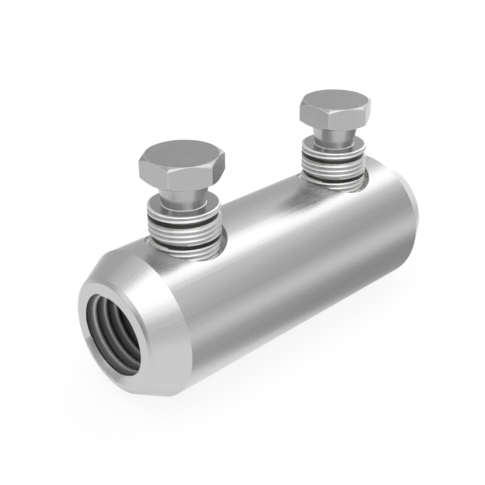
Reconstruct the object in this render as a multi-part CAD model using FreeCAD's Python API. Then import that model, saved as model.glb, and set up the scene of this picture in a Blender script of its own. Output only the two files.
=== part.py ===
"""Shear bolt connector: joins two power cable conductors end to end inside a turned metal barrel.

A conductor goes into the blind bore at each end and is clamped by one bolt. The bolt's hexagon
head shears off at its neck, or the bolt breaks at one of the grooves in its shank, once the
clamping torque is reached.

Millimetres. X runs along the barrel, Z up along the bolts, origin on the barrel's axis half way
along it. The near end is the one at -X.
"""
import FreeCAD, Part
import math
import os

# Barrel
barrel_length = 80.0
barrel_radius = 15.0
end_taper_length = 6.4
end_corner_radius = 11.9
end_rounding = 1.1
end_rounding_flat_count = 3

# Conductor bores, one from each end
bore_radius = 8.0
centre_wall = 5.0

# How far a cutter reaches past the surface that it cuts
overcut = 1.0

# Grip groove cut helically into each bore from its mouth
groove_pitch = 2.5
groove_turns = 2.2
groove_width = 1.3
groove_floor_width = 0.5
groove_depth = 0.9
groove_centre_angle = 32.0
groove_overcut = 0.3

# Shallow run-in where the groove tool enters the near face of each bore
run_in_radius = 10.3
run_in_depth = 0.8
run_in_from = -26.0
run_in_sweep = 100.0

# Clamping bolts
bolt_from_end_face = 18.3
bolt_radius = 7.0
shank_top_z = 21.65
shank_rim_chamfer = 0.35
break_groove_radius = 5.2
break_groove_width = 0.9
break_groove_levels = (19.75, 15.35)
neck_base_radius = 4.2
neck_top_radius = 5.05
neck_length = 5.15
head_across_flats = 14.0
head_height = 4.6
head_chamfer_circle = 7.0
head_chamfer_angle = 30.0
head_corner_angle = -90.0

# Threaded holes that carry the bolts
thread_clearance = 0.05
countersink_radius = 8.0
countersink_below_rim = 0.1

# Thrust pads, which press on the conductor and stay still while the bolt turns
pad_radius = 5.8
pad_thickness = 1.2
pad_above_bore = 0.25
pad_face_gap = 0.05
spigot_radius = 2.0
spigot_length = 3.0
spigot_clearance = 0.05
spigot_end_gap = 0.2

half_length = barrel_length / 2
bore_depth = half_length - centre_wall / 2
hole_radius = bolt_radius + thread_clearance
bolt_x = half_length - bolt_from_end_face
pad_bottom_z = bore_radius + pad_above_bore
pad_top_z = pad_bottom_z + pad_thickness
shank_tip_z = pad_top_z + pad_face_gap

X_AXIS = FreeCAD.Vector(1, 0, 0)
Z_AXIS = FreeCAD.Vector(0, 0, 1)
ORIGIN = FreeCAD.Vector(0, 0, 0)


def revolved(points, axis):
    """A solid turned about the axis from a closed outline of (along the axis, radius) points."""
    if axis is X_AXIS:
        corners = [FreeCAD.Vector(along, 0, radius) for along, radius in points]
    else:
        corners = [FreeCAD.Vector(radius, 0, along) for along, radius in points]
    outline = Part.makePolygon(corners + corners[:1])
    return Part.Face(outline).revolve(ORIGIN, axis, 360)


def rounded_corner(before, corner, after, radius, flat_count):
    """The corner of an outline turned into short flats that follow a round of the given radius."""
    towards = (FreeCAD.Vector(*before, 0) - FreeCAD.Vector(*corner, 0)).normalize()
    away = (FreeCAD.Vector(*after, 0) - FreeCAD.Vector(*corner, 0)).normalize()
    half_angle = towards.getAngle(away) / 2
    centre = FreeCAD.Vector(*corner, 0)
    centre += (towards + away).normalize() * (radius / math.sin(half_angle))
    spoke = FreeCAD.Vector(*corner, 0) + towards * (radius / math.tan(half_angle)) - centre
    turn = math.degrees(math.pi - 2 * half_angle)
    if towards.cross(away).z > 0:
        turn = -turn
    points = []
    for step in range(flat_count + 1):
        swing = FreeCAD.Rotation(FreeCAD.Vector(0, 0, 1), turn * step / flat_count)
        spot = centre + swing.multVec(spoke)
        points.append((spot.x, spot.y))
    return points


def barrel_blank():
    """The turned bar with a taper at each end and a rounding where the taper meets the end face."""
    taper_start = half_length - end_taper_length
    rounding = rounded_corner(
        (half_length, 0),
        (half_length, end_corner_radius),
        (taper_start, barrel_radius),
        end_rounding,
        end_rounding_flat_count,
    )
    far_end = [(half_length, 0)] + rounding + [(taper_start, barrel_radius)]
    near_end = [(-x, radius) for x, radius in reversed(far_end)]
    return revolved(near_end + far_end, X_AXIS)


def bore_cutter():
    """What boring the near end removes: a flat-bottomed bore."""
    return Part.makeCylinder(
        bore_radius,
        bore_depth + overcut,
        FreeCAD.Vector(-half_length - overcut, 0, 0),
        X_AXIS,
    )


def groove_cutter():
    """The helical groove of the near bore, from outside its mouth inwards."""
    start = -half_length - groove_pitch
    length = groove_pitch * (1 + groove_turns)
    slope = (groove_width - groove_floor_width) / 2 / groove_depth
    open_half = groove_width / 2 + slope * groove_overcut
    floor_half = groove_floor_width / 2
    inner = bore_radius - groove_overcut
    outer = bore_radius + groove_depth
    section = Part.makePolygon(
        [
            FreeCAD.Vector(inner, 0, -open_half),
            FreeCAD.Vector(outer, 0, -floor_half),
            FreeCAD.Vector(outer, 0, floor_half),
            FreeCAD.Vector(inner, 0, open_half),
            FreeCAD.Vector(inner, 0, -open_half),
        ]
    )
    helix = Part.makeHelix(groove_pitch, length, bore_radius, 0, True)
    cutter = Part.Wire(helix).makePipeShell([section], True, True)
    # The helix stands along +Z and starts on +X: lay it along +X, starting on +Y
    cutter.rotate(ORIGIN, FreeCAD.Vector(1, 1, 1), 120)
    # The start lies a whole pitch outside the face, so the groove crosses the face at its own angle
    cutter.rotate(ORIGIN, X_AXIS, groove_centre_angle)
    cutter.translate(FreeCAD.Vector(start, 0, 0))
    return cutter


def run_in_cutter():
    """The shallow sloping relief beside the near mouth, over part of the circle."""
    face = -half_length
    inner = bore_radius - groove_overcut
    corners = [
        FreeCAD.Vector(face - overcut, run_in_radius, 0),
        FreeCAD.Vector(face, run_in_radius, 0),
        FreeCAD.Vector(face + run_in_depth, inner, 0),
        FreeCAD.Vector(face - overcut, inner, 0),
    ]
    section = Part.Face(Part.makePolygon(corners + corners[:1]))
    cutter = section.revolve(ORIGIN, X_AXIS, -run_in_sweep)
    cutter.rotate(ORIGIN, X_AXIS, run_in_from)
    return cutter


def hole_cutter(x):
    """A threaded hole into the bore at x, with its countersink sunk below the barrel's surface."""
    rim_low_z = math.sqrt(barrel_radius**2 - countersink_radius**2)
    cone_top = rim_low_z - countersink_below_rim
    cone_bottom = cone_top - (countersink_radius - hole_radius)
    top = barrel_radius + overcut
    cutter = revolved(
        [
            (0, 0),
            (0, hole_radius),
            (cone_bottom, hole_radius),
            (cone_top, countersink_radius),
            (top, countersink_radius),
            (top, 0),
        ],
        Z_AXIS,
    )
    cutter.translate(FreeCAD.Vector(x, 0, 0))
    return cutter


def connector_body():
    """The one-piece barrel: both bores with their grooves, and the two threaded holes."""
    body = barrel_blank()
    for turn in (0, 180):
        for make in (bore_cutter, groove_cutter, run_in_cutter):
            cutter = make()
            cutter.rotate(ORIGIN, Z_AXIS, turn)
            body = body.cut(cutter)
    for x in (-bolt_x, bolt_x):
        body = body.cut(hole_cutter(x))
    return body


def shank_outline():
    """Half section of a bolt below its head, as (height, radius) points from the tip upwards."""
    points = [
        (shank_tip_z, 0),
        (shank_tip_z, bolt_radius),
    ]
    for level in sorted(break_groove_levels):
        low = level - break_groove_width / 2
        high = level + break_groove_width / 2
        points += [
            (low, bolt_radius),
            (low, break_groove_radius),
            (high, break_groove_radius),
            (high, bolt_radius),
        ]
    points += [
        (shank_top_z - shank_rim_chamfer, bolt_radius),
        (shank_top_z, bolt_radius - shank_rim_chamfer),
        (shank_top_z, neck_base_radius),
        (shank_top_z + neck_length, neck_top_radius),
        (shank_top_z + neck_length, 0),
    ]
    return points


def hexagon_head():
    """A hexagon head chamfered on its top and its underside, with one corner at the front."""
    bottom = shank_top_z + neck_length
    corner = head_across_flats / math.sqrt(3)
    angles = [math.radians(head_corner_angle + 60 * k) for k in range(6)]
    corners = [FreeCAD.Vector(corner * math.cos(a), corner * math.sin(a), bottom) for a in angles]
    prism = Part.Face(Part.makePolygon(corners + corners[:1])).extrude(Z_AXIS * head_height)
    drop = math.tan(math.radians(head_chamfer_angle))
    reach = corner + overcut
    fall = (reach - head_chamfer_circle) * drop
    envelope = revolved(
        [
            (bottom, 0),
            (bottom, head_chamfer_circle),
            (bottom + fall, reach),
            (bottom + head_height - fall, reach),
            (bottom + head_height, head_chamfer_circle),
            (bottom + head_height, 0),
        ],
        Z_AXIS,
    )
    return prism.common(envelope)


def shear_bolt(x):
    """One bolt in a single piece: break-off head, waisted neck and grooved shank, socketed below."""
    shank = revolved(shank_outline(), Z_AXIS)
    socket = Part.makeCylinder(
        spigot_radius + spigot_clearance,
        pad_face_gap + spigot_length + spigot_end_gap,
        FreeCAD.Vector(0, 0, pad_top_z),
    )
    bolt = shank.fuse(hexagon_head()).removeSplitter().cut(socket)
    bolt.translate(FreeCAD.Vector(x, 0, 0))
    return bolt


def thrust_pad(x):
    """The disc under a bolt's tip, carried by a spigot in the bolt's end."""
    pad = revolved(
        [
            (pad_bottom_z, 0),
            (pad_bottom_z, pad_radius),
            (pad_top_z, pad_radius),
            (pad_top_z, spigot_radius),
            (pad_top_z + spigot_length, spigot_radius),
            (pad_top_z + spigot_length, 0),
        ],
        Z_AXIS,
    )
    pad.translate(FreeCAD.Vector(x, 0, 0))
    return pad


def single_solid(shape):
    """The one solid that a shape consists of."""
    if len(shape.Solids) != 1:
        raise ValueError("expected one solid, found %d" % len(shape.Solids))
    return shape.Solids[0]


def main():
    nodes = {
        "connector_body": connector_body(),
        "near_shear_bolt": shear_bolt(-bolt_x),
        "far_shear_bolt": shear_bolt(bolt_x),
        "near_thrust_pad": thrust_pad(-bolt_x),
        "far_thrust_pad": thrust_pad(bolt_x),
    }
    os.makedirs("parts", exist_ok=True)
    for name, shape in nodes.items():
        solid = single_solid(shape)
        solid.exportStep("parts/%s.step" % name)
        print("%s: valid %s, %.1f mm3" % (name, solid.isValid(), solid.Volume))


main()
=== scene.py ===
"""Shear bolt connector for power cables, dressed as turned and tin-plated metal.

A barrel takes a stripped conductor in a blind bore at each end. A bolt with a break-off hexagon
head clamps each conductor through a small pad under its tip.

Lengths are in metres, in the frame's own axes: X along the barrel, Z up along the bolts.
"""
from math import atan2, cos, pi, radians, sin, sqrt, tan

import bmesh
import bpy
from bpy.props import FloatProperty, FloatVectorProperty, PointerProperty
from mathutils import Matrix, Vector


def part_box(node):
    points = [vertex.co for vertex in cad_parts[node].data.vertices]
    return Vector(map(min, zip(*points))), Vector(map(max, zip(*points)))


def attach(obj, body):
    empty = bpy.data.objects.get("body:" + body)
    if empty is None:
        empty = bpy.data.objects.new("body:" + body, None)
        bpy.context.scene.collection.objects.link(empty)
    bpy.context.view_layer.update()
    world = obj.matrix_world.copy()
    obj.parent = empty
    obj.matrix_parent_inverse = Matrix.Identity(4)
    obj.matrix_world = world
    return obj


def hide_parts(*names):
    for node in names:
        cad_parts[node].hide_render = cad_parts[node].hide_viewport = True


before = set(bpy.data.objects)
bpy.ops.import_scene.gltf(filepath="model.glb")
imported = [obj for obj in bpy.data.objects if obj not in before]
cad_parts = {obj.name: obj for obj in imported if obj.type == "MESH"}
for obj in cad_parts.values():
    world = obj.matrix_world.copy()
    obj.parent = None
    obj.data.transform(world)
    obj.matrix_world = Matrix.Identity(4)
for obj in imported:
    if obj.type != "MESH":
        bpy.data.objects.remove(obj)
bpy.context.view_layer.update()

bl_info = {
    "name": "Shear bolt connector",
    "version": (1, 0, 0),
    "blender": (4, 5, 0),
    "location": "3D View > Sidebar > Connector",
    "description": "Builds a cable connector with two break-off bolts round its packed frame",
    "category": "Mesh",
}

MM = 0.001
BARREL_LOW, BARREL_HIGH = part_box("connector_body")
BOLT_LOW, BOLT_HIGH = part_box("far_shear_bolt")
BOLT_X = (BOLT_LOW.x + BOLT_HIGH.x) / 2

# Segments round each turned shape
BARREL_SEGMENTS = 256
BORE_SEGMENTS = 144
BOLT_SEGMENTS = 160

# The most of a side that the arc at one of its ends may take up
LARGEST_ARC_SHARE = 0.45

# Height of the small ring left at the foot of each bolt's neck
FOOT_RING = 0.11 * MM


def linear_colour(hex_code):
    """The linear RGB of an sRGB hex colour."""
    channels = [int(hex_code[start:start + 2], 16) / 255 for start in (1, 3, 5)]
    return tuple(c / 12.92 if c <= 0.04045 else ((c + 0.055) / 1.055) ** 2.4 for c in channels)


def length(name, millimetres, description):
    """A length property whose default is given in millimetres."""
    return FloatProperty(
        name=name,
        description=description,
        default=millimetres * MM,
        precision=5,
        subtype="DISTANCE",
        unit="LENGTH",
    )


def angle(name, in_degrees, description):
    """An angle property whose default is given in degrees."""
    return FloatProperty(
        name=name,
        description=description,
        default=radians(in_degrees),
        subtype="ANGLE",
        unit="ROTATION",
    )


def colour(name, hex_code, description):
    """A colour property whose default is given as an sRGB hex code."""
    return FloatVectorProperty(
        name=name,
        description=description,
        default=linear_colour(hex_code),
        min=0.0,
        max=1.0,
        subtype="COLOR",
    )


class BarrelSizes(bpy.types.PropertyGroup):
    """Sizes of the turned barrel, its bores and its threaded holes."""

    radius: length("Radius", 15.0, "Radius of the barrel between its end tapers")
    taper: length("Taper", 6.4, "Length of the taper at each end")
    proud: length("Proud", 0.3, "How far each end face stands outside the frame's barrel")
    end_radius: length("End radius", 11.4, "Radius where the taper would meet the end face")
    rounding: length("Rounding", 1.1, "Radius of the round between taper and end face")
    bore: length("Bore", 8.0, "Radius of the lands in each conductor bore")
    wall: length("Centre wall", 5.0, "Thickness of the wall between the two bores")
    pitch: length("Groove pitch", 2.5, "Pitch of the grip groove in each bore")
    groove_floor: length("Groove floor", 8.95, "Radius at the floor of the grip groove")
    floor_width: length("Floor width", 0.7, "Width of the grip groove at its floor")
    land_width: length("Land width", 0.5, "Width of the land left between turns of the groove")
    groove_angle: angle("Groove angle", 125.2, "Where the groove's middle crosses the near face")
    groove_start: angle("Groove start", 60.2, "How far past that crossing the groove begins")
    run_in_radius: length("Run-in radius", 10.3, "Outer radius of the relief beside the mouth")
    run_in_depth: length("Run-in depth", 1.0, "Depth of that relief at the edge of the bore")
    countersink: length("Countersink", 8.0, "Radius of the countersink of each bolt hole")
    sink_angle: angle("Countersink angle", 32.0, "Slope of the countersink's cone")
    edge_break: length("Edge break", 0.12, "Width of the bevel on the rim of each bolt hole")


class BoltSizes(bpy.types.PropertyGroup):
    """Sizes of the two shear bolts."""

    thread: length("Thread radius", 7.0, "Radius over the thread's crests")
    root: length("Root radius", 6.455, "Radius at the thread's root")
    pitch: length("Thread pitch", 1.0, "Pitch of the right-hand fine thread")
    crest_level: length("Crest level", 20.57, "Height of one crest at the crest angle")
    crest_angle: angle("Crest angle", -135.6, "Direction in which that crest is measured")
    clearance: length("Clearance", 0.05, "Radial play between the bolt and its threaded hole")
    shank_top: length("Shank top", 21.65, "Height of the top of the threaded shank")
    rim: length("Rim rounding", 0.5, "Radius of the round on the rim of the shank")
    groove_floor: length("Break groove floor", 5.2, "Radius at the floor of the break grooves")
    groove_width: length("Break groove width", 0.9, "Width of each break groove")
    upper_groove: length("Upper break groove", 19.75, "Height of the middle of the upper groove")
    lower_groove: length("Lower break groove", 15.35, "Height of the middle of the lower groove")
    neck_base: length("Neck base", 4.2, "Radius of the neck where it leaves the shank")
    neck_top: length("Neck top", 5.05, "Radius of the neck under the head")
    head_height: length("Head height", 4.6, "Height of the hexagon head")
    across_flats: length("Across flats", 14.0, "Width of the hexagon across its flats")
    chamfer_circle: length("Chamfer circle", 6.93, "Radius of the flat top inside the chamfer")
    chamfer_angle: angle("Chamfer angle", 30.0, "Slope of the chamfers on the head")
    edge: length("Edge rounding", 0.18, "Radius of the rounds on the edges of the head")


class MetalColours(bpy.types.PropertyGroup):
    """Colours of the metals."""

    barrel_plating: colour("Barrel plating", "#CCCCCC", "Tin plating on the turned aluminium")
    # Bare aluminium, and painted paler still as light against the shade of the bolts
    seat: colour("Bolt seats", "#F0F0EE", "Bare aluminium of the bolt seats, painted pale against the bolts' shade")
    # Painted shade for the floor of the bores' grip groove, and a painted highlight for their lands
    shaded_bore_metal: colour("Bore groove", "#6A6A6C", "Grip groove, darkened as painted shade")
    bore_land_highlight: colour("Bore lands", "#F2F2F0", "Lands of the bore, lightened as a painted highlight")
    bolt_plating: colour("Bolt plating", "#B5B5B5", "Tin plating on the bolts")
    # Near white, painted as the highlight on the bolts' edges and crests
    bolt_edge_highlight: colour("Bolt edges", "#FAFAFA", "Painted highlight on the bolt's edges and crests")
    # Paler than the flats, painted as the highlight along the hexagon's rounded edges
    head_edge_highlight: colour("Head edges", "#D2D2D0", "Painted highlight on the rounded edges of the hexagon")
    thread_plating: colour("Thread plating", "#C8C7C6", "Tin plating on the rolled thread")
    # Darker than the thread, painted as the shade deep in the break grooves
    break_groove_shade: colour("Break groove", "#A6A6A4", "Break grooves, darkened as painted shade")
    brass: colour("Brass", "#C8A85E", "Bare brass of the thrust pads")


class StageSettings(bpy.types.PropertyGroup):
    """The camera's place and the studio's brightness."""

    azimuth: angle("Azimuth", -44.449, "Turn of the camera round the object, 0 looking along +Y")
    elevation: angle("Elevation", 27.383, "Height of the camera above the horizon")
    roll: angle("Roll", -0.361, "Tilt of the camera about its own line of sight")
    distance: length("Distance", 182.355, "Distance from the camera to its target")
    target: FloatVectorProperty(
        name="Target",
        description="Point that the camera looks at",
        default=(-6.394 * MM, 0.0, 7.419 * MM),
        precision=5,
        subtype="TRANSLATION",
        unit="LENGTH",
    )
    lens: FloatProperty(
        name="Lens", description="Focal length in millimetres", default=65.89, unit="CAMERA"
    )
    brightness: FloatProperty(
        name="Brightness",
        description="Factor on the light of the whole studio",
        default=1.0,
        min=0.0,
        subtype="FACTOR",
    )


class ConnectorSettings(bpy.types.PropertyGroup):
    """All that a user may change."""

    barrel: PointerProperty(name="Barrel", description="Sizes of the barrel", type=BarrelSizes)
    bolt: PointerProperty(name="Bolts", description="Sizes of the bolts", type=BoltSizes)
    colours: PointerProperty(name="Colours", description="Metals", type=MetalColours)
    stage: PointerProperty(name="Stage", description="Camera and light", type=StageSettings)


# Outlines and meshes. An outline is a list of (along, radius) points beside the local Z axis.


def filleted(corners, steps):
    """An outline whose corners, given as (along, radius, fillet), are turned into arcs.

    An arc shrinks where the sides next to it leave no room.
    """
    outline = [Vector(corners[0][:2])]
    for before, corner, after in zip(corners, corners[1:], corners[2:]):
        here = Vector(corner[:2])
        back = Vector(before[:2]) - here
        ahead = Vector(after[:2]) - here
        turn = pi - back.angle(ahead)
        reach = corner[2] * tan(turn / 2)
        if reach == 0:
            outline.append(here)
            continue
        room = LARGEST_ARC_SHARE * min(back.length, ahead.length)
        reach = min(reach, room)
        start = here + back.normalized() * reach
        end = here + ahead.normalized() * reach
        centre = here + (back.normalized() + ahead.normalized()) / 2 * (
            reach / cos(turn / 2) ** 2
        )
        spoke = start - centre
        other = end - centre
        for step in range(steps + 1):
            share = step / steps
            along = sin((1 - share) * turn) * spoke + sin(share * turn) * other
            outline.append(centre + along / sin(turn))
    outline.append(Vector(corners[-1][:2]))
    return [tuple(point) for point in outline]


def new_piece(name, mesh_builder):
    """A linked object made from a finished bmesh, with its faces turned outwards."""
    bmesh.ops.recalc_face_normals(mesh_builder, faces=mesh_builder.faces)
    mesh = bpy.data.meshes.new(name)
    mesh_builder.to_mesh(mesh)
    mesh_builder.free()
    piece = bpy.data.objects.new(name, mesh)
    bpy.context.scene.collection.objects.link(piece)
    return piece


def skinned(name, sections):
    """A solid skinned over sections round an axis, each from one shared point to another."""
    builder = bmesh.new()
    first = builder.verts.new(sections[0][0])
    last = builder.verts.new(sections[0][-1])
    rows = [[builder.verts.new(point) for point in section[1:-1]] for section in sections]
    for row, after in zip(rows, rows[1:] + rows[:1]):
        builder.faces.new((first, row[0], after[0]))
        builder.faces.new((row[-1], last, after[-1]))
        for k in range(len(row) - 1):
            builder.faces.new((row[k], row[k + 1], after[k + 1], after[k]))
    return new_piece(name, builder)


def turned(name, outline, segments):
    """A solid turned about Z from an outline that starts and ends on the axis."""
    sections = []
    for step in range(segments):
        turn = 2 * pi * step / segments
        sections.append([(r * cos(turn), r * sin(turn), along) for along, r in outline])
    return skinned(name, sections)


def swept(name, sections, ring):
    """A solid swept through closed sections, either a ring or a bar with two flat ends."""
    builder = bmesh.new()
    loops = [[builder.verts.new(point) for point in section] for section in sections]
    following = loops[1:] + loops[:1] if ring else loops[1:]
    for loop, after in zip(loops, following):
        for k in range(len(loop)):
            builder.faces.new((loop[k - 1], loop[k], after[k], after[k - 1]))
    if not ring:
        builder.faces.new(loops[0])
        builder.faces.new(loops[-1])
    return new_piece(name, builder)


def thread_profile(pitch, crest, root, steps):
    """One pitch of a thread, a crest and the root after it, as (offset, radius) points.

    The crest and the root are each given as (width, radius, rounding).
    """
    crest_reach = crest[0] / 2
    root_reach = root[0] / 2
    corners = [
        (-pitch / 2 + root_reach, *root[1:]),
        (-crest_reach, *crest[1:]),
        (crest_reach, *crest[1:]),
        (pitch / 2 - root_reach, *root[1:]),
        (pitch / 2 + root_reach, *root[1:]),
        (pitch - crest_reach, *crest[1:]),
    ]
    return filleted(corners, steps)[1:-1]


def helical_rod(name, profile, pitch, start, start_angle, turns, segments, hand):
    """A solid rod with a helical profile about Z, right-hand where hand is 1, left-hand for -1.

    The profile's zero lies at the start height in the direction of the start angle.
    """
    builder = bmesh.new()
    rows = [(start + k * pitch + offset, r) for k in range(turns) for offset, r in profile]
    columns = []
    for step in range(segments):
        share = step / segments
        turn = start_angle + 2 * pi * share
        rise = hand * pitch * share
        columns.append(
            [builder.verts.new((r * cos(turn), r * sin(turn), level + rise)) for level, r in rows]
        )
    for step, column in enumerate(columns):
        closing = step == segments - 1
        after = columns[0] if closing else columns[step + 1]
        shift = hand * len(profile) if closing else 0
        for k in range(max(0, -shift), len(rows) - 1 - max(0, shift)):
            builder.faces.new((column[k], column[k + 1], after[k + 1 + shift], after[k + shift]))
    # The open ends are closed with a fan of triangles to a point on the axis
    middle = start + turns * pitch / 2
    open_edges = [edge for edge in builder.edges if edge.is_boundary]
    for lower in (True, False):
        fan = [edge for edge in open_edges if (edge.verts[0].co.z < middle) == lower]
        level = sum(edge.verts[0].co.z for edge in fan) / len(fan)
        hub = builder.verts.new((0, 0, level))
        for edge in fan:
            builder.faces.new((*edge.verts, hub))
    return new_piece(name, builder)


def lay_along_x(piece):
    """Turns a piece built about Z so that it lies about X, with its local X along Y."""
    piece.data.transform(Matrix(((0, 0, 1, 0), (1, 0, 0, 0), (0, 1, 0, 0), (0, 0, 0, 1))))


def combine(piece, operation, *tools):
    """Cuts, joins or trims the piece with each tool in turn, and uses the tools up."""
    for tool in tools:
        step = piece.modifiers.new(operation, "BOOLEAN")
        step.operation = operation
        step.solver = "MANIFOLD"
        step.material_mode = "TRANSFER"
        step.object = tool
        evaluated = piece.evaluated_get(bpy.context.evaluated_depsgraph_get())
        mesh = bpy.data.meshes.new_from_object(evaluated)
        mesh.name = piece.name
        piece.modifiers.remove(step)
        spent = piece.data, tool.data
        piece.data = mesh
        bpy.data.objects.remove(tool)
        for old in spent:
            bpy.data.meshes.remove(old)
    if not piece.data.polygons:
        raise RuntimeError("%s has no faces left" % piece.name)


def mark(piece, metal, chosen):
    """Gives the metal to the faces for which the function of centre and normal is true."""
    slot = len(piece.data.materials)
    piece.data.materials.append(metal)
    for face in piece.data.polygons:
        if chosen(face.center, face.normal):
            face.material_index = slot


def shade(piece, sharp_angle):
    """Smooth shading with sharp edges kept, weighted so that flat faces look flat."""
    piece.data.shade_smooth()
    piece.data.set_sharp_from_angle(angle=sharp_angle)
    weighted = piece.modifiers.new("flat faces stay flat", "WEIGHTED_NORMAL")
    weighted.keep_sharp = True


# Barrel


def near_face(sizes):
    """Where the near end face lies along the barrel."""
    return BARREL_LOW.x - sizes.proud


def barrel_blank(sizes):
    """The turned bar with a taper at each end and a round where the taper meets the end face."""
    half = -near_face(sizes)
    crease = 0.12 * MM
    corners = [
        (-half, 0, 0),
        (-half, sizes.end_radius, sizes.rounding),
        (-half + sizes.taper, sizes.radius, crease),
        (half - sizes.taper, sizes.radius, crease),
        (half, sizes.end_radius, sizes.rounding),
        (half, 0, 0),
    ]
    blank = turned("turned_barrel", filleted(corners, steps=10), BARREL_SEGMENTS)
    lay_along_x(blank)
    return blank


def relief_end(sizes):
    """Where the relief at the inner end of the near bore's groove stops, short of the wall."""
    plain_length = 2.4 * MM
    return -sizes.wall / 2 - plain_length


def bore_groove_tool(sizes, metal):
    """The helical rod that leaves the lands and the left-hand grip groove of the near bore."""
    floor_round = 1.0 * MM
    land_round = 0.12 * MM
    profile = thread_profile(
        sizes.pitch,
        crest=(sizes.floor_width, sizes.groove_floor, floor_round),
        root=(sizes.land_width, sizes.bore, land_round),
        steps=4,
    )
    face = near_face(sizes)
    turns_outside = 2
    start = face - turns_outside * sizes.pitch
    rod = helical_rod(
        "groove_tool",
        profile,
        sizes.pitch,
        start,
        sizes.groove_angle,
        turns=int((relief_end(sizes) - start) / sizes.pitch),
        segments=BORE_SEGMENTS,
        hand=-1,
    )
    # The groove runs out where it starts: further back along the helix the rod is plain
    run_out_turns = 0.04
    for vertex in rod.data.vertices:
        spot = vertex.co
        reach = spot.xy.length
        if reach <= sizes.bore:
            continue
        turned_by = (atan2(spot.y, spot.x) - sizes.groove_angle) / (2 * pi) % 1.0
        inwards = round((spot.z - face) / sizes.pitch + turned_by) - turned_by
        depth = (inwards - sizes.groove_start / (2 * pi)) / run_out_turns + 1
        kept = sizes.bore + (reach - sizes.bore) * min(1.0, max(0.0, depth))
        spot.xy *= kept / reach
    lay_along_x(rod)
    rod.data.materials.append(metal)
    return rod


def bore_tool(sizes, metal):
    """The plain part of the near bore: bevelled mouth, relief at the groove's end, flat bottom."""
    face = near_face(sizes)
    bottom = -sizes.wall / 2
    overcut = 1.0 * MM
    bevel = 0.3 * MM
    inside_lands = 0.1 * MM
    below_groove = 0.15 * MM
    past_last_turns = 0.7 * MM
    relief_round = 0.3 * MM
    edge_round = 0.1 * MM
    bottom_round = 0.5 * MM
    mouth = sizes.bore + bevel
    core = sizes.bore - inside_lands
    relief = sizes.groove_floor + below_groove
    relief_to = relief_end(sizes)
    relief_from = relief_to - 2 * sizes.pitch - past_last_turns
    corners = [
        (face - overcut, 0, 0),
        (face - overcut, mouth + overcut, 0),
        (face + mouth - core, core, 0),
        (relief_from, core, 0),
        (relief_from, relief, relief_round),
        (relief_to, relief, relief_round),
        (relief_to, sizes.bore, edge_round),
        (bottom, sizes.bore, bottom_round),
        (bottom, 0, 0),
    ]
    tool = turned("bore_tool", filleted(corners, steps=3), BORE_SEGMENTS)
    lay_along_x(tool)
    tool.data.materials.append(metal)
    return tool


def run_in_tool(sizes, metal):
    """The shallow relief where the groove tool enters the near face, fading out to one side."""
    face = near_face(sizes)
    overcut = 0.5 * MM
    inside_lands = 0.3 * MM
    inner = sizes.bore - inside_lands
    # Degrees round the bore: a narrow lead-in from early to first, the full width on to last
    early, first, last, step = 6, -26, -150, -2
    # Millimetres past the bore where the lead-in starts, and how much it widens
    lead_in, widening = 0.1, 0.8
    narrowing = 0.45 * MM
    narrowing_rate = 1.6
    fading_rate = 2.2
    least_depth_share = 0.02
    sections = []
    for at in range(early, last + step, step):
        if at > first:
            share = (early - at) / (early - first)
            reach = sizes.bore + (lead_in + widening * share) * MM
            depth = sizes.run_in_depth * share
        else:
            share = (at - first) / (last - first)
            reach = sizes.run_in_radius - narrowing * min(1.0, narrowing_rate * share)
            depth = sizes.run_in_depth * min(1.0, fading_rate * (1 - share) + least_depth_share)
        section = [
            (face - overcut, reach),
            (face, reach),
            (face + depth * (reach - inner) / (reach - sizes.bore), inner),
            (face - overcut, inner),
        ]
        turn = radians(at)
        sections.append([(x, r * cos(turn), r * sin(turn)) for x, r in section])
    tool = swept("run_in_tool", sections, ring=False)
    tool.data.materials.append(metal)
    return tool


def hole_tools(sizes, bolt):
    """The countersunk hole for a bolt at x 0, its thread, and the bevel on its rim."""
    below_rim = 0.25 * MM
    inside_thread = 0.1 * MM
    overcut = 1.0 * MM
    inner_end = 2.0 * MM
    minor = bolt.root + bolt.clearance
    major = bolt.thread + bolt.clearance
    sink_top = sqrt(sizes.radius**2 - sizes.countersink**2) - below_rim
    outside = sizes.radius + overcut
    core = minor - inside_thread
    sink = (sizes.countersink - core) * tan(sizes.sink_angle)
    corners = [
        (inner_end, 0, 0),
        (inner_end, core, 0),
        (sink_top - sink, core, 0),
        (sink_top, sizes.countersink, 0),
        (outside, sizes.countersink, 0),
        (outside, 0, 0),
    ]
    hole = turned("hole_tool", filleted(corners, steps=1), BOLT_SEGMENTS)
    # Cut wide at the crests, so that the bolt's flanks stay clear
    crest_width, crest_round = 0.42 * MM, 0.03 * MM
    root_width, root_round = 0.04 * MM, 0.01 * MM
    profile = thread_profile(
        bolt.pitch,
        crest=(crest_width, major, crest_round),
        root=(root_width, minor, root_round),
        steps=1,
    )
    pitches_below_crest = 19
    thread = helical_rod(
        "hole_thread_tool",
        profile,
        bolt.pitch,
        bolt.crest_level - pitches_below_crest * bolt.pitch,
        bolt.crest_angle,
        turns=11,
        segments=BOLT_SEGMENTS,
        hand=1,
    )
    # The bevel follows the rim up and down over the barrel, and the cutter overshoots it
    overshoot = 0.6
    rim_step_degrees = 3
    ring = sizes.countersink
    wide = ring + sizes.edge_break
    sections = []
    for at in range(0, 360, rim_step_degrees):
        turn = radians(at)
        low = Vector((ring, sqrt(sizes.radius**2 - (ring * sin(turn)) ** 2) - sizes.edge_break))
        high = Vector((wide, sqrt(sizes.radius**2 - (wide * sin(turn)) ** 2)))
        below = low + (low - high) * overshoot
        above = high + (high - low) * overshoot
        section = [below, above, (above.x, outside), (below.x, outside)]
        sections.append([(r * cos(turn), r * sin(turn), z) for r, z in section])
    rim = swept("rim_tool", sections, ring=True)
    return hole, thread, rim


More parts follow.
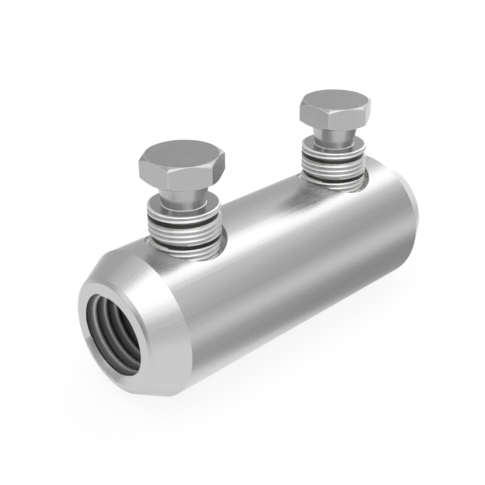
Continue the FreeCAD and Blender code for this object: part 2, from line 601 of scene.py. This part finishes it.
class CONNECTOR_OT_barrel(bpy.types.Operator):
    """Turn the barrel, bore and groove both ends, and cut the two threaded holes"""

    bl_idname = "connector.barrel"
    bl_label = "Turned barrel"

    def execute(self, context):
        settings = context.scene.connector
        sizes = settings.barrel
        barrel = barrel_blank(sizes)
        barrel.data.materials.append(turned_tin_plated_aluminium(settings.colours))
        faced_metal = faced_tin_plated_aluminium(settings.colours)
        # The end faces and their rounds face along the barrel more than the tapers do
        least_facing = 0.55
        mark(barrel, faced_metal, lambda centre, normal: abs(normal.x) > least_facing)
        # The bores' grooves are painted dark as shade, and their lands painted light as a highlight
        shaded_bore_metal = painted_shade_bore_aluminium(settings.colours)
        # The seats are bare aluminium, painted paler as light against the bolts' shade
        painted_pale_seat_metal = countersunk_aluminium_painted_pale(settings.colours)
        half_turn = Matrix.Rotation(pi, 4, "Z")
        for turn in (Matrix.Identity(4), half_turn):
            tools = (
                bore_groove_tool(sizes, shaded_bore_metal),
                bore_tool(sizes, shaded_bore_metal),
                run_in_tool(sizes, faced_metal),
            )
            for tool in tools:
                tool.data.transform(turn)
            combine(barrel, "DIFFERENCE", *tools)
        for x in (-BOLT_X, BOLT_X):
            tools = hole_tools(sizes, settings.bolt)
            # The threads of the holes take the bore metal's painted shade
            for tool, metal in zip(tools, (painted_pale_seat_metal, shaded_bore_metal, painted_pale_seat_metal)):
                tool.data.materials.append(metal)
                tool.data.transform(Matrix.Translation((x, 0, 0)))
            combine(barrel, "DIFFERENCE", *tools)
        shade(barrel, sharp_angle=radians(28))
        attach(barrel, "barrel")
        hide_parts("connector_body")
        return {"FINISHED"}


# Bolts


def shank_envelope(sizes):
    """What turning leaves of a threaded rod: pad socket, two break grooves, rim and neck."""
    tip = BOLT_LOW.z
    socket_radius = 2.05 * MM
    socket_depth = 3.2 * MM
    tip_taper = 1.2 * MM
    tip_inset = 0.9 * MM
    tip_round = 0.1 * MM
    groove_round = 0.08 * MM
    overcut = 0.3 * MM
    crest_play = 0.02 * MM
    above_groove = 0.2 * MM
    ring_width = 0.14 * MM
    ring_step = 0.02 * MM
    into_head = 0.6 * MM
    outside = sizes.thread + overcut
    rim = sizes.thread + crest_play
    head_bottom = BOLT_HIGH.z - sizes.head_height
    neck_slope = (sizes.neck_top - sizes.neck_base) / (head_bottom - sizes.shank_top)
    corners = [
        (tip + socket_depth, 0, 0),
        (tip + socket_depth, socket_radius, tip_round),
        (tip, socket_radius, tip_round),
        (tip, sizes.thread - tip_inset, tip_round),
        (tip + tip_taper, outside, 0),
    ]
    for level in (sizes.lower_groove, sizes.upper_groove):
        low = level - sizes.groove_width / 2
        high = level + sizes.groove_width / 2
        corners += [
            (low, outside, 0),
            (low, sizes.groove_floor, groove_round),
            (high, sizes.groove_floor, groove_round),
            (high, outside, 0),
        ]
    corners += [
        (sizes.upper_groove + sizes.groove_width / 2 + above_groove, rim, 0),
        (sizes.shank_top, rim, sizes.rim),
        (sizes.shank_top, sizes.neck_base + ring_width, 0),
        (sizes.shank_top + FOOT_RING, sizes.neck_base + ring_step, 0),
        (head_bottom + into_head, sizes.neck_top + neck_slope * into_head, 0),
        (head_bottom + into_head, 0, 0),
    ]
    return turned("shank_envelope", filleted(corners, steps=4), BOLT_SEGMENTS)


def hexagon_plan(across_flats, rounding):
    """Points round a hexagon with rounded corners, one of them at the front, as (x, y)."""
    corner_radius = across_flats / sqrt(3)
    centre_radius = corner_radius - rounding / sin(radians(60))
    arc_steps, flat_steps = 5, 14
    corners = []
    for k in range(6):
        at = radians(-90 + 60 * k)
        arc = []
        for step in range(arc_steps + 1):
            turn = at + radians(-30 + 60 * step / arc_steps)
            arc.append(
                Vector((centre_radius * cos(at), centre_radius * sin(at)))
                + Vector((rounding * cos(turn), rounding * sin(turn)))
            )
        corners.append(arc)
    plan = []
    for arc, after in zip(corners, corners[1:] + corners[:1]):
        plan += arc
        plan += [arc[-1].lerp(after[0], step / flat_steps) for step in range(1, flat_steps)]
    return plan


def hexagon_head(sizes):
    """The hexagon head, chamfered above and below, with every edge slightly rounded."""
    top = BOLT_HIGH.z
    bottom = top - sizes.head_height
    circle = sizes.chamfer_circle
    sections = []
    for spot in hexagon_plan(sizes.across_flats, rounding=0.2 * MM):
        reach = spot.length
        drop = (reach - circle) * tan(sizes.chamfer_angle)
        corners = [
            (bottom, 0, 0),
            (bottom, circle, 2 * sizes.edge),
            (bottom + drop, reach, sizes.edge),
            (top - drop, reach, sizes.edge),
            (top, circle, 2 * sizes.edge),
            (top, 0, 0),
        ]
        away = spot.normalized()
        outline = filleted(corners, steps=4)
        sections.append([(r * away.x, r * away.y, z) for z, r in outline])
    return skinned("hexagon_head", sections)


def shear_bolt(name, sizes, colours):
    """One bolt in a single piece: threaded rod, trimmed by turning, with its head joined on."""
    highlight_metal = painted_bolt_highlights(colours)
    crest_width, crest_round = 0.3 * MM, 0.25 * MM
    root_width, root_round = 0.16 * MM, 0.08 * MM
    profile = thread_profile(
        sizes.pitch,
        crest=(crest_width, sizes.thread, crest_round),
        root=(root_width, sizes.root, root_round),
        steps=3,
    )
    pitches_below_crest = 12
    bolt = helical_rod(
        name,
        profile,
        sizes.pitch,
        sizes.crest_level - pitches_below_crest * sizes.pitch,
        sizes.crest_angle,
        turns=20,
        segments=BOLT_SEGMENTS,
        hand=1,
    )
    envelope = shank_envelope(sizes)
    head = hexagon_head(sizes)
    bolt.data.materials.append(rolled_tin_plated_thread(colours))
    envelope.data.materials.append(turned_tin_plated_brass(colours))
    head.data.materials.append(drawn_tin_plated_brass(colours))
    # The crests are painted pale as highlights, down to this depth below them
    highlight_depth = 0.09 * MM
    crest = sizes.thread - highlight_depth
    mark(bolt, highlight_metal, lambda centre, normal: centre.xy.length > crest)

    def at_an_edge(centre, normal):
        above = centre.z - sizes.shank_top
        on_rim = -sizes.rim < above < 0 and centre.xy.length > sizes.thread - sizes.rim
        return on_rim or 0 < above < FOOT_RING

    # The rim's round and the ring at the foot of the neck are painted pale as highlights
    mark(envelope, highlight_metal, at_an_edge)
    tolerance = 0.01 * MM
    half_groove = sizes.groove_width / 2 + tolerance
    levels = sizes.lower_groove, sizes.upper_groove
    # The break grooves are painted darker as shade
    mark(
        envelope,
        shaded_break_groove(colours),
        lambda centre, normal: min(abs(centre.z - level) for level in levels) < half_groove,
    )
    flats = [Vector((cos(pi * k / 3), sin(pi * k / 3), 0)) for k in range(6)]
    chamfer = cos(sizes.chamfer_angle)
    chamfer_play = 0.02
    square_to_axis = 0.999
    square_to_flat = 0.9999

    def on_a_round(centre, normal):
        tilt = abs(normal.z)
        plain = tilt > square_to_axis or abs(tilt - chamfer) < chamfer_play
        return not plain and max(normal.dot(flat) for flat in flats) < square_to_flat

    # The rounds on the head's edges are painted pale as highlights
    mark(head, hexagon_edge_highlights(colours), on_a_round)
    combine(bolt, "INTERSECT", envelope)
    combine(bolt, "UNION", head)
    shade(bolt, sharp_angle=radians(40))
    return bolt


class CONNECTOR_OT_shear_bolts(bpy.types.Operator):
    """Make both bolts, each with a fine thread, two break grooves, a neck and a hexagon head"""

    bl_idname = "connector.shear_bolts"
    bl_label = "Shear bolts"

    def execute(self, context):
        settings = context.scene.connector
        for side, x in (("near", -BOLT_X), ("far", BOLT_X)):
            bolt = shear_bolt("%s_turned_bolt" % side, settings.bolt, settings.colours)
            bolt.data.transform(Matrix.Translation((x, 0, 0)))
            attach(bolt, "%s_bolt" % side)
            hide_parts("%s_shear_bolt" % side)
        return {"FINISHED"}


class CONNECTOR_OT_thrust_pads(bpy.types.Operator):
    """Give the thrust pads of the frame their turned brass"""

    bl_idname = "connector.thrust_pads"
    bl_label = "Thrust pads"

    def execute(self, context):
        metal = turned_brass(context.scene.connector.colours)
        for name in ("near_thrust_pad", "far_thrust_pad"):
            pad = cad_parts[name]
            pad.data.materials.clear()
            pad.data.materials.append(metal)
        return {"FINISHED"}


# Metals


def add_node(tree, kind, sockets=None, **settings):
    """Adds a node with its settings, and gives each named input a value or a link."""
    node = tree.nodes.new(kind)
    for name, value in settings.items():
        setattr(node, name, value)
    for name, value in (sockets or {}).items():
        if isinstance(value, bpy.types.NodeSocket):
            tree.links.new(value, node.inputs[name])
        else:
            node.inputs[name].default_value = value
    return node


def metal_material(name, base, roughness, texture, depth, tone):
    """A metal whose texture, built by the given function, varies tone, gloss and height.

    The texture function takes the node tree and returns an output from 0 to 1. Depth is the
    height of its bump in metres, and roughness is the (smoothest, roughest) pair. The tone is
    the colour's swing to each side.
    """
    material = bpy.data.materials.new(name)
    material.use_nodes = True
    tree = material.node_tree
    tree.nodes.clear()
    pattern = texture(tree)
    shades = [tuple(min(1.0, c * (1 + tone * side)) for c in base) + (1.0,) for side in (-1, 1)]
    blend = add_node(
        tree, "ShaderNodeMix", {0: pattern, 6: shades[0], 7: shades[1]}, data_type="RGBA"
    )
    gloss = add_node(
        tree,
        "ShaderNodeMapRange",
        {"Value": pattern, "To Min": roughness[0], "To Max": roughness[1]},
    )
    bump = add_node(tree, "ShaderNodeBump", {"Height": pattern, "Distance": depth, "Strength": 1.0})
    shader = add_node(
        tree,
        "ShaderNodeBsdfPrincipled",
        {
            "Base Color": blend.outputs[2],
            "Metallic": 1.0,
            "Roughness": gloss.outputs["Result"],
            "Normal": bump.outputs["Normal"],
        },
    )
    add_node(tree, "ShaderNodeOutputMaterial", {"Surface": shader.outputs["BSDF"]})
    return material


def grains(tree, scale, detail, stretch=(1, 1, 1)):
    """Grains in the piece's own space, with scale in grains a millimetre."""
    place = add_node(tree, "ShaderNodeTexCoord")
    spread = add_node(
        tree,
        "ShaderNodeMapping",
        {"Vector": place.outputs["Object"], "Scale": [scale / MM / s for s in stretch]},
    )
    grain = add_node(
        tree,
        "ShaderNodeTexNoise",
        {"Vector": spread.outputs["Vector"], "Scale": 1.0, "Detail": detail},
    )
    return grain.outputs["Fac"]


def lengthwise(tree, scale, stretch, detail):
    """Grains drawn out along the barrel, on its cylinder and its cones alike.

    Scale is in streaks a millimetre round the barrel.
    """
    place = add_node(tree, "ShaderNodeTexCoord").outputs["Object"]
    across = add_node(tree, "ShaderNodeVectorMath", {0: place, 1: (0, 1, 1)}, operation="MULTIPLY")
    outward = add_node(tree, "ShaderNodeVectorMath", {0: across.outputs[0]}, operation="NORMALIZE")
    along = add_node(
        tree,
        "ShaderNodeVectorMath",
        {0: place, 1: (scale / MM / stretch, 0, 0)},
        operation="MULTIPLY",
    )
    around = BARREL_HIGH.y / MM * scale
    spread = add_node(
        tree,
        "ShaderNodeVectorMath",
        {0: outward.outputs[0], 1: (around, around, around), 2: along.outputs[0]},
        operation="MULTIPLY_ADD",
    )
    grain = add_node(
        tree, "ShaderNodeTexNoise", {"Vector": spread.outputs[0], "Scale": 1.0, "Detail": detail}
    )
    return grain.outputs["Fac"]


def turned_tin_plated_aluminium(colours):
    """Aluminium bar, polished lengthwise and tin plated: satin, with faint streaks along it."""

    def streaks(tree):
        # Polishing lines are about 0.05 mm apart: drawn 0.4 mm apart, so that they show
        fine = lengthwise(tree, scale=2.5, stretch=120, detail=1.5)
        # The belt leaves bands about 2 mm wide
        wavy = lengthwise(tree, scale=0.5, stretch=25, detail=1.5)
        wavy_share = 0.4
        mix = add_node(tree, "ShaderNodeMix", {0: wavy_share, 2: fine, 3: wavy}, data_type="FLOAT")
        return mix.outputs[0]

    return metal_material(
        "turned tin-plated aluminium",
        colours.barrel_plating,
        roughness=(0.22, 0.32),
        texture=streaks,
        depth=0.013 * MM,
        tone=0.06,
    )


def faced_tin_plated_aluminium(colours):
    """End faces and run-in, faced and tin plated: even, pale and almost without grain."""

    def clouds(tree):
        # Plating clouds about 3 mm across
        return grains(tree, scale=0.3, detail=1.0)

    return metal_material(
        "faced tin-plated aluminium",
        colours.barrel_plating,
        roughness=(0.28, 0.34),
        texture=clouds,
        depth=0.001 * MM,
        tone=0.02,
    )


def countersunk_aluminium_painted_pale(colours):
    """Bolt seats as countersunk: bare aluminium, painted paler still to lift them out of the bolts'
    shade, and matt from the chatter of the tool.
    """

    def chatter(tree):
        # Chatter marks about 0.7 mm apart
        return grains(tree, scale=1.5, detail=2.0)

    return metal_material(
        "countersunk aluminium, painted pale",
        colours.seat,
        roughness=(0.6, 0.7),
        texture=chatter,
        depth=0.002 * MM,
        tone=0.04,
    )


def painted_shade_bore_aluminium(colours):
    """Bored aluminium, dull: painted shade deep in the groove, and a painted highlight on the
    lands.
    """

    def film(tree):
        # Smears of grease a little over 1 mm across
        return grains(tree, scale=0.8, detail=4.0)

    material = metal_material(
        "bored aluminium in painted groove shade",
        colours.shaded_bore_metal,
        roughness=(0.6, 0.8),
        texture=film,
        depth=0.01 * MM,
        tone=0.18,
    )
    tree = material.node_tree
    place = add_node(tree, "ShaderNodeTexCoord").outputs["Object"]
    across = add_node(tree, "ShaderNodeVectorMath", {0: place, 1: (0, 1, 1)}, operation="MULTIPLY")
    radius = add_node(tree, "ShaderNodeVectorMath", {0: across.outputs[0]}, operation="LENGTH")
    shader = next(node for node in tree.nodes if node.type == "BSDF_PRINCIPLED")
    tone = shader.inputs["Base Color"].links[0].from_socket
    # The lands' painted highlight is dimmed towards the bottom of the bore, as painted shade where
    # less light falls
    low, high = -6 * MM, 5 * MM
    height = add_node(tree, "ShaderNodeSeparateXYZ", {0: place}).outputs["Z"]
    rubbed = add_node(
        tree,
        "ShaderNodeMapRange",
        {"Value": height, "From Min": low, "From Max": high, "To Min": 0.4},
    ).outputs["Result"]
    # The painted highlight on the lands fades into painted shade towards the floor of the groove:
    # radii in millimetres where the fade starts and is done, and how bright it then is
    fades = ((8.8, 8.15, 0.35), (8.3, 8.05, 0.85))
    for deep, shallow, share in fades:
        land_highlight = add_node(
            tree,
            "ShaderNodeMapRange",
            {
                "Value": radius.outputs["Value"],
                "From Min": deep * MM,
                "From Max": shallow * MM,
                "To Max": share,
            },
            interpolation_type="SMOOTHSTEP",
        )
        land_highlight = add_node(
            tree, "ShaderNodeMath", {0: land_highlight.outputs[0], 1: rubbed}, operation="MULTIPLY"
        )
        tone = add_node(
            tree,
            "ShaderNodeMix",
            {0: land_highlight.outputs[0], 6: tone, 7: (*colours.bore_land_highlight, 1.0)},
            data_type="RGBA",
        ).outputs[2]
    tree.links.new(tone, shader.inputs["Base Color"])
    return material


def rolled_tin_plated_thread(colours):
    """Rolled thread, tin plated: satin flanks with hardly any texture."""

    def burnish(tree):
        # Patches under 1 mm long round the bolt, as the rolls leave them
        return grains(tree, scale=1.5, detail=3.0, stretch=(1, 1, 0.3))

    return metal_material(
        "rolled tin-plated thread",
        colours.thread_plating,
        roughness=(0.3, 0.38),
        texture=burnish,
        depth=0.002 * MM,
        tone=0.04,
    )


def rubbed(tree):
    """Wear of the plating in patches about 0.8 mm across."""
    return grains(tree, scale=1.2, detail=2.0)


def painted_bolt_highlights(colours):
    """Painted highlights on edges and crests: pale lines, softly lit."""
    return metal_material(
        "painted highlight on the bolt's edges and crests",
        colours.bolt_edge_highlight,
        roughness=(0.38, 0.48),
        texture=rubbed,
        depth=0.001 * MM,
        tone=0.03,
    )


def hexagon_edge_highlights(colours):
    """Rounded edges of the hexagon, painted a little paler than its flats as highlights."""
    return metal_material(
        "painted highlight on the hexagon's edges",
        colours.head_edge_highlight,
        roughness=(0.4, 0.5),
        texture=rubbed,
        depth=0.0,
        tone=0.04,
    )


def shaded_break_groove(colours):
    """Break grooves as cut: darker than the thread as painted shade, and duller."""

    def smear(tree):
        # Smears about 1 mm wide and 3 mm long, round the bolt
        return grains(tree, scale=1.0, detail=3.0, stretch=(3, 3, 1))

    return metal_material(
        "break groove in painted shade",
        colours.break_groove_shade,
        roughness=(0.4, 0.5),
        texture=smear,
        depth=0.002 * MM,
        tone=0.1,
    )


def turned_tin_plated_brass(colours):
    """Neck, shank top and tip as turned, tin plated: bright, with fine rings round them."""

    def rings(tree):
        # Turning marks are about 0.08 mm apart: drawn 0.25 mm apart, so that they show
        return grains(tree, scale=4.0, detail=2.0, stretch=(30, 30, 1))

    return metal_material(
        "turned tin-plated brass",
        colours.bolt_plating,
        roughness=(0.2, 0.28),
        texture=rings,
        depth=0.003 * MM,
        tone=0.05,
    )


def drawn_tin_plated_brass(colours):
    """Hexagon drawn and faced, tin plated: satin and clouded, with a few hair scratches."""

    def mottle(tree):
        # Plating clouds about 2 mm across
        cloudy = grains(tree, scale=0.5, detail=3.0)
        # Hair scratches are about 0.05 mm wide: drawn 0.3 mm wide, so that they show
        scratched = grains(tree, scale=2.5, detail=1.0, stretch=(14, 0.8, 1))
        scratched_share = 0.45
        mix = add_node(
            tree, "ShaderNodeMix", {0: scratched_share, 2: cloudy, 3: scratched}, data_type="FLOAT"
        )
        return mix.outputs[0]

    return metal_material(
        "drawn tin-plated brass",
        colours.bolt_plating,
        roughness=(0.2, 0.32),
        texture=mottle,
        depth=0.0006 * MM,
        tone=0.1,
    )


def turned_brass(colours):
    """Bare brass as turned: yellow and bright, with fine marks from the tool."""

    def tool_marks(tree):
        # Tool marks are about 0.1 mm apart: drawn 0.2 mm apart, so that they show
        return grains(tree, scale=5.0, detail=2.0)

    return metal_material(
        "turned bare brass",
        colours.brass,
        roughness=(0.2, 0.3),
        texture=tool_marks,
        depth=0.003 * MM,
        tone=0.06,
    )


# Stage


def direction(azimuth, elevation):
    """Unit vector with its azimuth counted from +X towards +Y and its elevation from level."""
    return Vector((cos(azimuth) * cos(elevation), sin(azimuth) * cos(elevation), sin(elevation)))


def studio_world(brightness):
    """White backdrop for the camera, and for the metal a studio with two overhead softboxes."""
    world = bpy.data.worlds.new("soft studio")
    bpy.context.scene.world = world
    world.use_nodes = True
    tree = world.node_tree
    tree.nodes.clear()
    ray = add_node(tree, "ShaderNodeTexCoord").outputs["Generated"]
    parts = add_node(tree, "ShaderNodeSeparateXYZ", {0: ray}).outputs
    # From the white floor up to slightly grey walls
    floor_to_wall = {"From Min": -0.2, "From Max": 0.26, "To Min": 1.0, "To Max": 0.8}
    level = add_node(
        tree,
        "ShaderNodeMapRange",
        {"Value": parts["Z"], **floor_to_wall},
        interpolation_type="SMOOTHSTEP",
    ).outputs["Result"]
    # Patches of the room: azimuth, elevation, full radius, faded radius, brightness
    patches = (
        (-34, 0, 25, 34, 0.51),
        (75, 20, 13, 46, 0.55),
        (-122, 12, 10, 27, 0.74),
        (-46, -21, 9, 31, 0.93),
        (-50, -37, 6, 26, 0.5),
        (29, -14, 7, 14, 1.7),
        (79, -59, 10, 28, 0.84),
        (10, -33, 7, 22, 0.41),
        (-14, -33, 16, 25, 0.38),
        (50, 7, 10, 23, 0.58),
        (20, 9, 5, 13, 1.5),
        (22, -26, 3, 9, 1.25),
        (134, 14, 8, 24, 0.5),
        (147, -4, 8, 20, 0.36),
        (176, -8, 8, 18, 0.12),
        (158, 12, 8, 15, 1.4),
        (17, -5, 5, 11, 0.98),
        (118, 8, 7, 19, 0.5),
        (11, 26, 6, 14, 1.35),
    )
    for azimuth, elevation, full, faded, shade_level in patches:
        near = add_node(
            tree,
            "ShaderNodeVectorMath",
            {0: ray, 1: direction(radians(azimuth), radians(elevation))},
            operation="DOT_PRODUCT",
        )
        level = add_node(
            tree,
            "ShaderNodeMapRange",
            {
                "Value": near.outputs["Value"],
                "From Min": cos(radians(faded)),
                "From Max": cos(radians(full)),
                "To Min": level,
                "To Max": shade_level,
            },
            interpolation_type="SMOOTHSTEP",
        ).outputs["Result"]
    # Two softboxes hang overhead: their sides in the plane one metre up
    across, deep = (
        add_node(
            tree, "ShaderNodeMath", {0: parts[axis], 1: parts["Z"]}, operation="DIVIDE"
        ).outputs[0]
        for axis in "XY"
    )
    boxes = (
        # along x, along y, softness of the edge
        ((-0.8, 1.38), (-0.39, 0.2), 0.16),
        ((-0.76, 0.1), (-1.65, -0.2), 0.13),
    )
    box_level = 1.9
    overhead = add_node(
        tree, "ShaderNodeMath", {0: parts["Z"], 1: 0.0}, operation="GREATER_THAN"
    ).outputs[0]
    for (left, right), (front, back), soft in boxes:
        mask = overhead
        for value, side, inwards in (
            (across, left, soft),
            (across, right, -soft),
            (deep, front, soft),
            (deep, back, -soft),
        ):
            mask = add_node(
                tree,
                "ShaderNodeMapRange",
                {
                    "Value": value,
                    "From Min": side - inwards,
                    "From Max": side + inwards,
                    "To Max": mask,
                },
                interpolation_type="SMOOTHSTEP",
            ).outputs["Result"]
        level = add_node(
            tree, "ShaderNodeMix", {0: mask, 2: level, 3: box_level}, data_type="FLOAT"
        ).outputs[0]
    level = add_node(
        tree, "ShaderNodeMath", {0: level, 1: brightness}, operation="MULTIPLY"
    ).outputs[0]
    # The camera itself sees plain white
    seen = add_node(tree, "ShaderNodeLightPath").outputs["Is Camera Ray"]
    strength = add_node(
        tree, "ShaderNodeMix", {0: seen, 2: level, 3: 1.0}, data_type="FLOAT"
    ).outputs[0]
    light = add_node(
        tree, "ShaderNodeBackground", {"Color": (1, 1, 1, 1), "Strength": strength}
    )
    add_node(tree, "ShaderNodeOutputWorld", {"Surface": light.outputs["Background"]})


def studio_floor():
    """A pale floor under the barrel, which keeps the object's soft shadow."""
    level = BARREL_LOW.z
    reach = 1.5
    # How much of the paper's white the camera sees unlit: the rest takes the shadow
    own_white = 0.85
    builder = bmesh.new()
    corners = [(-reach, -reach), (reach, -reach), (reach, reach), (-reach, reach)]
    builder.faces.new([builder.verts.new((x, y, level)) for x, y in corners])
    floor = new_piece("floor", builder)
    floor.visible_glossy = False
    material = bpy.data.materials.new("matt white paper")
    material.use_nodes = True
    tree = material.node_tree
    tree.nodes.clear()
    white = (1, 1, 1, 1)
    lit = add_node(tree, "ShaderNodeBsdfDiffuse", {"Color": white})
    glow = add_node(tree, "ShaderNodeEmission", {"Color": white, "Strength": 1.0})
    seen = add_node(tree, "ShaderNodeLightPath").outputs["Is Camera Ray"]
    share = add_node(tree, "ShaderNodeMath", {0: seen, 1: own_white}, operation="MULTIPLY")
    paper = add_node(
        tree,
        "ShaderNodeMixShader",
        {0: share.outputs[0], 1: lit.outputs["BSDF"], 2: glow.outputs["Emission"]},
    )
    clear = add_node(tree, "ShaderNodeBsdfTransparent")
    side = add_node(tree, "ShaderNodeNewGeometry").outputs["Backfacing"]
    one_sided = add_node(
        tree, "ShaderNodeMixShader", {0: side, 1: paper.outputs["Shader"], 2: clear.outputs["BSDF"]}
    )
    add_node(tree, "ShaderNodeOutputMaterial", {"Surface": one_sided.outputs["Shader"]})
    floor.data.materials.append(material)


def studio_camera(stage):
    """The camera at the photograph's angle."""
    back = direction(stage.azimuth - pi / 2, stage.elevation)
    right = Vector((cos(stage.azimuth), sin(stage.azimuth), 0))
    up = back.cross(right)
    tilt = Matrix.Rotation(stage.roll, 3, back)
    axes = Matrix((tilt @ right, tilt @ up, back)).transposed()
    data = bpy.data.cameras.new("camera")
    data.lens = stage.lens
    data.sensor_width = 36
    data.clip_start = 0.01
    camera = bpy.data.objects.new("camera", data)
    camera.matrix_world = Matrix.LocRotScale(
        Vector(stage.target) + back * stage.distance, axes.to_quaternion(), None
    )
    bpy.context.scene.collection.objects.link(camera)
    bpy.context.scene.camera = camera


class CONNECTOR_OT_stage(bpy.types.Operator):
    """Set up the floor, the soft studio light and the camera"""

    bl_idname = "connector.stage"
    bl_label = "Stage"

    def execute(self, context):
        stage = context.scene.connector.stage
        studio_world(stage.brightness)
        studio_floor()
        studio_camera(stage)
        context.scene.view_settings.view_transform = "Standard"
        return {"FINISHED"}


class CONNECTOR_PT_parts(bpy.types.Panel):
    """Lists the pieces of the connector"""

    bl_idname = "CONNECTOR_PT_parts"
    bl_label = "Shear bolt connector"
    bl_space_type = "VIEW_3D"
    bl_region_type = "UI"
    bl_category = "Connector"

    def draw(self, context):
        for operator in OPERATORS:
            self.layout.operator(operator.bl_idname)


OPERATORS = (
    CONNECTOR_OT_barrel,
    CONNECTOR_OT_shear_bolts,
    CONNECTOR_OT_thrust_pads,
    CONNECTOR_OT_stage,
)
CLASSES = (
    BarrelSizes,
    BoltSizes,
    MetalColours,
    StageSettings,
    ConnectorSettings,
    *OPERATORS,
    CONNECTOR_PT_parts,
)


def register():
    for item in CLASSES:
        bpy.utils.register_class(item)
    bpy.types.Scene.connector = PointerProperty(type=ConnectorSettings)


def unregister():
    del bpy.types.Scene.connector
    for item in reversed(CLASSES):
        bpy.utils.unregister_class(item)


def main():
    register()
    bpy.ops.connector.barrel()
    bpy.ops.connector.shear_bolts()
    bpy.ops.connector.thrust_pads()
    bpy.ops.connector.stage()


if __name__ == "__main__":
    main()
